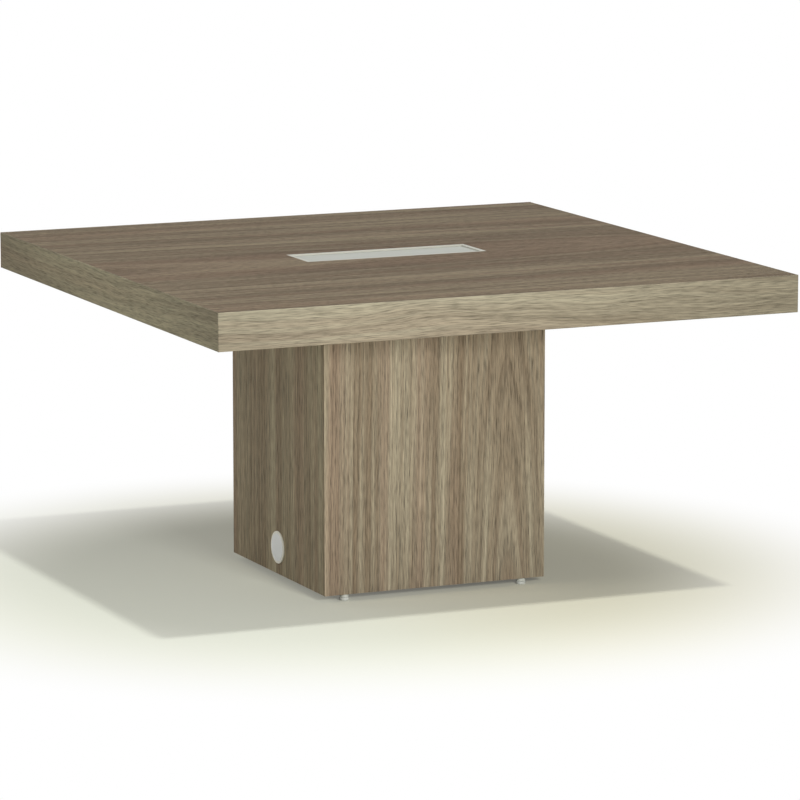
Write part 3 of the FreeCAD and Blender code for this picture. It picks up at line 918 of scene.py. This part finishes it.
@dataclass
class CableFlap:
    """The flush cable box: rimmed frame, hinged lid, bumpers, tray and outlet plate."""

    DOME = ((0.0, 0.0), (1.0, 0.0), (1.0, 0.55), (0.86, 0.85), (0.5, 0.97), (0.0, 1.0))

    height: float = 750.0
    rim: tuple[float, float] = (225.0, 65.0)
    well: tuple[float, float] = (215.0, 55.0)
    wall: float = 2.0
    rim_thick: float = 3.0
    deep: float = 25.0
    edge: float = 0.7
    edge_share: float = 0.3
    lid_long: float = 214.0
    lid_front: float = -54.0
    lid_top: float = 747.0
    lid_round: float = 0.5
    lid_sharp: float = 1.0
    hinge: tuple[float, float] = (49.4, 743.0)
    bead: float = 4.0
    notch_radius: float = 50.0
    notch_deep: float = 8.0
    notch_cut: float = 30.0
    notch_steps: int = 128
    ledge: tuple[float, float, float] = (-49.0, 739.7, 741.7)
    ledge_break: float = 40.0
    ledge_round: float = 0.3
    bumper_at: tuple[float, float] = (150.5, -52.0)
    bumper: tuple[float, float] = (2.5, 1.0)
    screw_at: tuple[float, float] = (25.0, 739.0)
    screw: Screw = Screw(head=3.2, thick=1.8, shank=1.7)
    screw_long: float = 16.0
    crease: float = 20.0

    def frame_piece(self) -> None:
        """Build the frame as a ring of walls under a rounded rim, with its front ledge."""
        well, rim, top, edge = self.well, self.rim, self.height, self.edge
        low, under, near = top - self.deep, top - self.rim_thick, self.edge_share * edge
        rings = (
            (well, 0.0, low), (well, 0.0, top - edge), (well, near, top - near), (well, edge, top),
            (rim, -edge, top), (rim, -near, top - near), (rim, 0.0, top - edge), (rim, 0.0, under),
            (well, self.wall, under), (well, self.wall, low),
        )
        mesh = Mesh()
        start = Matrix.Rotation(TURN / 8, 4, "Z")
        verts = bmesh.ops.create_circle(mesh.bm, segments=4, radius=math.sqrt(2), matrix=start)["verts"]
        half = (1.0, 1.0, 0.0)
        loops = []
        for (long, wide), more, level in rings:
            if loops:
                grown = bmesh.ops.extrude_edge_only(mesh.bm, edges=loops[-1])["geom"]
                verts = [item for item in grown if isinstance(item, bmesh.types.BMVert)]
                loops.append([item for item in grown if isinstance(item, bmesh.types.BMEdge)])
            else:
                loops.append(mesh.bm.edges[:])
            size = ((long + more) * MM, (wide + more) * MM, level * MM)
            bmesh.ops.scale(mesh.bm, vec=(size[0] / half[0], size[1] / half[1], 1.0), verts=verts)
            bmesh.ops.translate(mesh.bm, vec=(0, 0, size[2] - half[2]), verts=verts)
            half = size
        bmesh.ops.bridge_loops(mesh.bm, edges=loops[0] + loops[-1])
        mesh.clean()
        back, ledge_low, ledge_top = self.ledge
        for side in (-1, 1):
            first, last = sorted((side * self.ledge_break, side * well[0]))
            ledge = mesh.block((first, -well[1], ledge_low), (last, back, ledge_top))
            mesh.soften(self.ledge_round, ledge)
        finish = SatinMetal("satin_rim", specular=0.3, ground=tone(200, 199, 187), line=tone(192, 191, 179))
        mesh.piece("flap_rim_frame", finish, "table", "flap_rim", "flap_frame", crease=self.crease)

    def lid_piece(self) -> None:
        """Build the lid: plate with rounded edges, hinge bead and finger notch."""
        back, low = self.hinge
        plate, bead, notch = Mesh(), Mesh(), Mesh()
        plate.block((-self.lid_long, self.lid_front, low), (self.lid_long, back, self.lid_top))
        bead.rod(self.bead, 2 * self.lid_long, placed(0, back, low) @ Matrix.Rotation(TURN / 4, 4, "Y"))
        notch_at = placed(0, self.lid_front + self.notch_deep - self.notch_radius, low)
        notch.rod(self.notch_radius, self.notch_cut, notch_at, self.notch_steps)
        lid = plate.carve(bead, "UNION").carve(notch)
        lid.clean()
        lid.soften(self.lid_round, lid.bm.verts[:], self.lid_sharp)
        finish = SatinMetal("satin_lid", specular=0.3, ground=tone(188, 190, 181), line=tone(180, 182, 173))
        lid.piece("cable_flap_lid", finish, "lid", "flap_lid", "flap_lid", crease=self.crease)

    def bumpers(self) -> None:
        """Build the two domed bumpers on the ledge."""
        radius, thick = self.bumper
        dome, pads = Mesh(), Mesh()
        dome.lathe([(radius * wide, thick * high) for wide, high in self.DOME], Screw.STEPS)
        for side in (-1, 1):
            pads.copy_in(dome, placed(side * self.bumper_at[0], self.bumper_at[1], self.ledge[2]))
        dome.bm.free()
        dark = {"ground": tone(54, 54, 55), "flow": tone(46, 46, 47)}
        rubber = Moulded("soft_bumper_rubber", specular=0.25, rough=0.7, **dark)
        pads.piece("lid_bumper_pads", rubber, "table", "bumper_rubber", "lid_bumpers")

    def small_parts(self) -> None:
        """Dress pins, tray, plate and blanks, and build the frame's screws."""
        black = {"ground": tone(58, 60, 62), "fleck": tone(76, 78, 80)}
        grey = {"ground": tone(118, 121, 122), "fleck": tone(138, 141, 142)}
        blank = Moulded("blank_insert_plastic", ground=tone(66, 68, 70), flow=tone(58, 60, 62), rough=0.5)
        dress(ZINC, "hinge_pins")
        dress(PowderCoat("coated_tray_steel", specular=0.4, **black), "cable_tray")
        dress(PowderCoat("coated_plate_steel", specular=0.4, **grey), "outlet_plate")
        dress(blank, "outlet_blanks")
        along, height = self.screw_at
        seats = []
        for side in (-1, 1):
            for y in (-along, along):
                seats.append(facing((side * self.well[0], y, height), (-side, 0, 0)))
        self.screw.build("frame_screw_set", "frame_screws", self.screw_long, seats)

    def build(self) -> None:
        """Build and dress the cable box."""
        self.frame_piece()
        self.lid_piece()
        self.bumpers()
        self.small_parts()


@dataclass
class Grommet:
    """The round cable grommet low in the left panel: flanged sleeve and pull-out cap."""

    face: float = -275.0
    up: float = 78.0
    flange: float = 38.0
    flange_round: float = 1.6
    lip: float = 3.0
    seat: float = 33.0
    seat_deep: float = 1.5
    seat_round: float = 0.4
    tube: float = 30.0
    tube_long: float = 22.0
    bore: float = 27.0
    bore_break: float = 0.5
    cap: float = 32.5
    cap_flat: float = 19.5
    cap_round: float = 0.8
    cap_out: tuple[float, float] = (1.8, 3.4)
    skirt: tuple[float, float] = (26.7, 24.7)
    skirt_end: float = -10.2
    tab: tuple[float, float] = (18.0, 15.0)
    groove: tuple[float, float] = (1.0, 0.6)
    spare: float = 2.0
    steps: int = 96

    def place(self) -> Matrix:
        """Turn from the lathe's upright axis to the panel's outward axis."""
        return facing((self.face, 0, self.up), (-1, 0, 0))

    def sleeve_piece(self) -> None:
        """Build the sleeve."""
        ledge, end = self.lip - self.seat_deep, -self.tube_long
        outline = [(self.bore, end), (self.tube, end), (self.tube, 0.0), (self.flange, 0.0)]
        outer = (self.flange - self.flange_round, self.lip - self.flange_round)
        inner = (self.seat + self.seat_round, self.lip - self.seat_round)
        outline += arc(outer, self.flange_round, 0, 90, 5) + arc(inner, self.seat_round, 90, 180, 2)
        bore, cut = self.bore, self.bore_break
        outline += [(self.seat, ledge), (bore + cut, ledge), (bore, ledge - cut)]
        sleeve = Mesh()
        sleeve.lathe(outline, self.steps, True)
        sleeve.move(self.place())
        pale = {"ground": tone(250, 248, 236), "flow": tone(246, 244, 232)}
        finish = Moulded("pale_sleeve_plastic", specular=0.4, rough=0.36, **pale)
        sleeve.piece("grommet_flange_sleeve", finish, "table", "grommet_plastic", "grommet_sleeve")

    def tab_line(self) -> Mesh:
        """Groove around the tear-out tab at the cap's lower edge.

        Returns:
            What is cut out of the cap.
        """
        wide, deep = self.groove
        half, spare, rim = self.tab[0] / 2, self.spare, self.up - self.cap
        floor, low, top = self.face - self.cap_out[1] + deep, rim - spare, rim + self.tab[1]
        outer, inner = Mesh(), Mesh()
        outer.block((floor - 2 * spare, -half, low), (floor, half, top))
        inner.block((floor - 3 * spare, wide - half, low - spare), (floor + spare, half - wide, top - wide))
        return outer.carve(inner)

    def cap_piece(self) -> None:
        """Build the cap with its tab line."""
        back, front = self.cap_out
        skirt, hollow = self.skirt
        outline = [(0.0, front), (self.cap_flat, front)]
        outline += arc((self.cap - self.cap_round, front - self.cap_round), self.cap_round, 90, 0)
        outline += [(self.cap, back), (skirt, back), (skirt, self.skirt_end)]
        outline += [(hollow, self.skirt_end), (hollow, back), (0.0, back)]
        disc = Mesh()
        disc.lathe(outline, self.steps)
        disc.move(self.place())
        pale = {"ground": tone(246, 248, 247), "flow": tone(241, 243, 242)}
        finish = Moulded("grommet_cap_plastic", specular=0.4, rough=0.38, **pale)
        disc.carve(self.tab_line()).piece("grommet_pull_cap", finish, "cap", "cap_plastic", "grommet_cap")

    def build(self) -> None:
        """Build the grommet."""
        self.sleeve_piece()
        self.cap_piece()


@dataclass
class LevellingFoot:
    """One levelling foot about its own axis: nylon pad, ribbed adjusting knob and threaded stud."""

    number: int
    side: int
    end: int
    out: tuple[float, float] = (222.0, 262.5)
    pad: float = 11.0
    pad_high: float = 7.0
    pad_rounds: tuple[float, float] = (1.5, 1.0)
    pad_steps: int = 48
    socket: float = 3.05
    socket_floor: float = 1.7
    spigot: float = 3.0
    spigot_break: float = 0.4
    knob: float = 10.0
    knob_levels: tuple[float, float] = (7.3, 14.7)
    knob_round: float = 0.8
    ribs: int = 28
    rib_inset: float = 0.12
    rib_deep: float = 0.5
    grip_from: float = 9.0
    stud: float = 4.0
    stud_levels: tuple[float, float] = (2.0, 47.0)
    stud_break: float = 0.6
    stud_steps: int = 32
    pitch: float = 1.25
    thread_deep: float = 0.62
    thread_root: float = 0.2
    thread_gap: float = 0.02
    thread_levels: tuple[float, ...] = (0.0, 0.5, 0.66, 1.16)
    thread_ends: tuple[float, float] = (0.2, 1.0)
    thread_steps: int = 20

    def pad_mesh(self) -> Mesh:
        """Pad with a socket for the stud.

        Returns:
            The pad.
        """
        (low, top), high = self.pad_rounds, self.pad_high
        outline = [(0.0, 0.0), *arc((self.pad - low, low), low, -90, 0)]
        outline += arc((self.pad - top, high - top), top, 0, 90)
        outline += [(self.socket + self.spigot_break, high), (self.socket, high - self.spigot_break)]
        outline += [(self.socket, self.socket_floor), (0.0, self.socket_floor)]
        mesh = Mesh()
        mesh.lathe(outline, self.pad_steps)
        return mesh

    def knob_mesh(self) -> Mesh:
        """Knob whose grip is sunk between ribs.

        Returns:
            The knob.
        """
        (low, high), corner = self.knob_levels, self.knob_round
        outline = [(self.stud, low), *arc((self.knob - corner, low + corner), corner, -90, 0, 3)]
        outline += [*arc((self.knob - corner, high - corner), corner, 0, 90, 3), (self.stud, high)]
        mesh = Mesh()
        mesh.lathe(outline, 2 * self.ribs, True)
        upright = [(face.calc_center_median(), face) for face in mesh.bm.faces if abs(face.normal.z) < 0.1]
        grip = [(middle, face) for middle, face in upright if middle.xy.length > self.grip_from * MM]
        grip.sort(key=lambda pair: math.atan2(pair[0].y, pair[0].x))
        sunk = [face for _, face in grip[::2]]
        inset, deep = self.rib_inset * MM, self.rib_deep * MM
        bmesh.ops.inset_individual(mesh.bm, faces=sunk, thickness=inset, depth=-deep)
        return mesh

    def stud_mesh(self) -> Mesh:
        """Stud with a spigot and a rolled thread.

        Returns:
            The stud.
        """
        (low, top), neck, core = self.stud_levels, self.knob_levels[0], self.stud - self.thread_deep
        outline = [(0.0, low), (self.spigot - self.spigot_break, low), (self.spigot, low + self.spigot_break)]
        outline += [(self.spigot, neck), (core, neck), (core, top - self.stud_break)]
        outline += [(core - self.stud_break, top), (0.0, top)]
        mesh = Mesh()
        mesh.lathe(outline, self.stud_steps)
        first = neck + self.thread_ends[0]
        turns = math.floor((top - self.thread_ends[1] - first) / self.pitch) - 1
        root, crest = core - self.thread_root, self.stud - self.thread_gap
        ridge = zip((root, crest, crest, root), self.thread_levels)
        corners = [mesh.bm.verts.new((radius * MM, 0, (first + level) * MM)) for radius, level in ridge]
        section = mesh.bm.faces.new(corners)
        bmesh.ops.spin(
            mesh.bm, geom=[section, *section.edges, *section.verts], cent=(0, 0, 0), axis=(0, 0, 1),
            dvec=(0, 0, self.pitch * MM / self.thread_steps), angle=TURN * turns,
            steps=self.thread_steps * turns,
        )
        bmesh.ops.recalc_face_normals(mesh.bm, faces=mesh.bm.faces[:])
        return mesh

    def build(self) -> None:
        """Build the foot's pieces at its place."""
        parts = (
            ("pad", self.pad_mesh(), NYLON, "foot", "foot_plastic"),
            ("knob", self.knob_mesh(), NYLON, "screw", "foot_plastic"),
            ("stud", self.stud_mesh(), ZINC, "screw", "zinc_steel"),
        )
        for part, mesh, finish, body, slot in parts:
            name = f"{part}_{self.number}"
            mesh.move(placed(self.side * self.out[0], self.end * self.out[1], 0))
            mesh.piece(f"foot_{name}", finish, f"{body}_{self.number}", slot, f"leveller_{name}")


def aimed(azimuth: float, elevation: float) -> Vector:
    """Direction from the table, by degrees from the front and above the floor."""
    side, up = math.radians(azimuth), math.radians(elevation)
    return Vector((math.sin(side) * math.cos(up), -math.cos(side) * math.cos(up), math.sin(up)))


class LampPlace(Enum):
    """Directions to the far lamps as azimuth from the front and height, in degrees."""

    TOP = (12.0, 71.0)
    BACK = (-150.0, 30.0)


class BoxPlace(Enum):
    """Places of the soft boxes that stand near the table, in metres."""

    KEY = (-0.1, -2.5, 0.96)
    FILL = (-2.2, -0.1, 0.9)


@dataclass
class Studio:
    """Floor, lamps, world and camera; a lamp's strength is its share of full light on what faces it."""

    azimuth: float = -23.9333
    elevation: float = 9.6994
    distance: float = 11.19834
    target: tuple[float, float, float] = (0.0334925, 0.0, 0.40219)
    lens: float = 216.404
    sensor: float = 36.0
    clip: tuple[float, float] = (0.1, 200.0)
    key: float = 0.55
    fill: float = 0.22
    box_side: float = 0.45
    box_aim: float = 0.45
    top: float = 0.47
    top_spread: float = 3.0
    back: float = 0.16
    back_spread: float = 40.0
    lamp_far: float = 6.0
    ambient: float = 0.12
    floor_half: float = 40.0
    floor_cells: int = 8
    floor_rough: float = 0.9
    # Painted shade on the floor: the tone turns warmer and the glow share smaller to the right, so the shadow
    # there is darker and warmer. floor_glow is warm near the table, which paints warmth into the shadow.
    floor_cool: Colour = tone(216, 220, 206)
    floor_shade_warm: Colour = tone(217, 215, 192)
    floor_bounce: Colour = tone(170, 170, 158)
    floor_glow: Colour = tone(255, 253, 240)
    shade_side_span: tuple[float, float] = (-0.55, 0.35)
    least_white: float = 0.2
    shade_side_loss: float = 0.07
    fade_from: float = -0.12
    fade_span: tuple[float, float] = (0.6, 1.36)

    def put(self, data: bpy.types.ID, at: Vector, way: Vector) -> bpy.types.Object:
        """Put a lamp or the camera on the scene.

        Args:
            data: The lamp or camera.
            at: Where it stands.
            way: Where it looks.

        Returns:
            The object, named like its data.
        """
        made = bpy.data.objects.new(data.name, data)
        bpy.context.scene.collection.objects.link(made)
        made.location = at
        made.rotation_mode = "QUATERNION"
        made.rotation_quaternion = way.to_track_quat("-Z", "Y")
        return made

    def camera(self) -> None:
        """Put the camera at the photograph's viewing angle."""
        data = bpy.data.cameras.new("camera")
        data.sensor_width = self.sensor
        data.lens = self.lens
        data.clip_start, data.clip_end = self.clip
        back = aimed(self.azimuth, self.elevation)
        bpy.context.scene.camera = self.put(data, Vector(self.target) + back * self.distance, -back)

    def soft_boxes(self) -> None:
        """Add the soft boxes, which face the middle of the pedestal and stay out of the picture."""
        boxes = (("key_box", BoxPlace.KEY, self.key), ("fill_box", BoxPlace.FILL, self.fill))
        for name, place, share in boxes:
            way = Vector((0.0, 0.0, self.box_aim)) - Vector(place.value)
            data = bpy.data.lights.new(name, "AREA")
            data.shape = "SQUARE"
            data.size = self.box_side
            data.energy = share * math.pi ** 2 * way.length_squared
            self.put(data, Vector(place.value), way).visible_camera = False

    def far_lamps(self) -> None:
        """Add the far lamps."""
        lamps = (
            ("top_lamp", LampPlace.TOP, self.top, self.top_spread),
            ("back_lamp", LampPlace.BACK, self.back, self.back_spread),
        )
        for name, place, share, spread in lamps:
            data = bpy.data.lights.new(name, "SUN")
            data.energy = share * math.pi
            data.angle = math.radians(spread)
            toward = aimed(*place.value)
            self.put(data, toward * self.lamp_far, -toward)

    def world(self) -> None:
        """Soft even light; the camera sees plain white."""
        made = bpy.data.worlds.new("studio")
        made.use_nodes = True
        bpy.context.scene.world = made
        graph = Graph(made.node_tree)
        strength = self.ambient + graph.seen() * (1 - self.ambient)
        light = graph.node("ShaderNodeBackground", inputs={"Color": WHITE, "Strength": strength})
        graph.node("ShaderNodeOutputWorld", inputs={"Surface": light})

    def floor(self) -> None:
        """Pale floor that keeps the shadow and fades to white far off; painted shade makes it warmer to the
        right, with less glow there.
        """
        mesh, cells = Mesh(), self.floor_cells
        bmesh.ops.create_grid(mesh.bm, x_segments=cells, y_segments=cells, size=self.floor_half)
        made = mesh.loose("studio_floor")
        mesh.bm.free()
        data = bpy.data.materials.new("pale_floor")
        data.use_nodes = True
        graph = Graph(data.node_tree)
        x, y, _ = graph.place()
        side = x - self.fade_from
        fade = ((side * side + y * y) ** 0.5).eased(*self.fade_span)
        # Painted shade: a warmer tone and a smaller glow share to the right.
        shade_side = x.eased(*self.shade_side_span)
        least = self.least_white - shade_side * self.shade_side_loss
        white = (least + (1 - least) * fade) * graph.seen()
        tint = graph.mix(shade_side, self.floor_cool, self.floor_shade_warm)
        shown = graph.mix(graph.seen(), self.floor_bounce, tint)
        inputs = {"Base Color": shown, "Roughness": self.floor_rough, "Specular IOR Level": 0.0}
        pale = graph.node("ShaderNodeBsdfPrincipled", inputs=inputs)
        glow_tone = graph.mix(fade, self.floor_glow, WHITE)
        glow = graph.node("ShaderNodeEmission", inputs={"Color": glow_tone, "Strength": 1.0})
        mixed = graph.node("ShaderNodeMixShader", inputs={0: white, 1: pale, 2: glow})
        graph.node("ShaderNodeOutputMaterial", inputs={"Surface": mixed})
        made.data.materials.append(data)

    def build(self) -> None:
        """Build the studio."""
        bpy.context.scene.view_settings.view_transform = "Standard"
        self.camera()
        self.soft_boxes()
        self.far_lamps()
        self.world()
        self.floor()


def main() -> None:
    """Build the table and the studio."""
    logging.basicConfig(level=logging.INFO, format="%(name)s %(message)s")
    Worktop().build()
    Pedestal().build()
    CableFlap().build()
    Grommet().build()
    corners = ((-1, -1), (1, -1), (1, 1), (-1, 1))
    for number, (side, end) in enumerate(corners, start=1):
        LevellingFoot(number, side, end).build()
    dress(ZINC, "leveller_bushes")
    Studio().build()


if __name__ == "__main__":
    main()
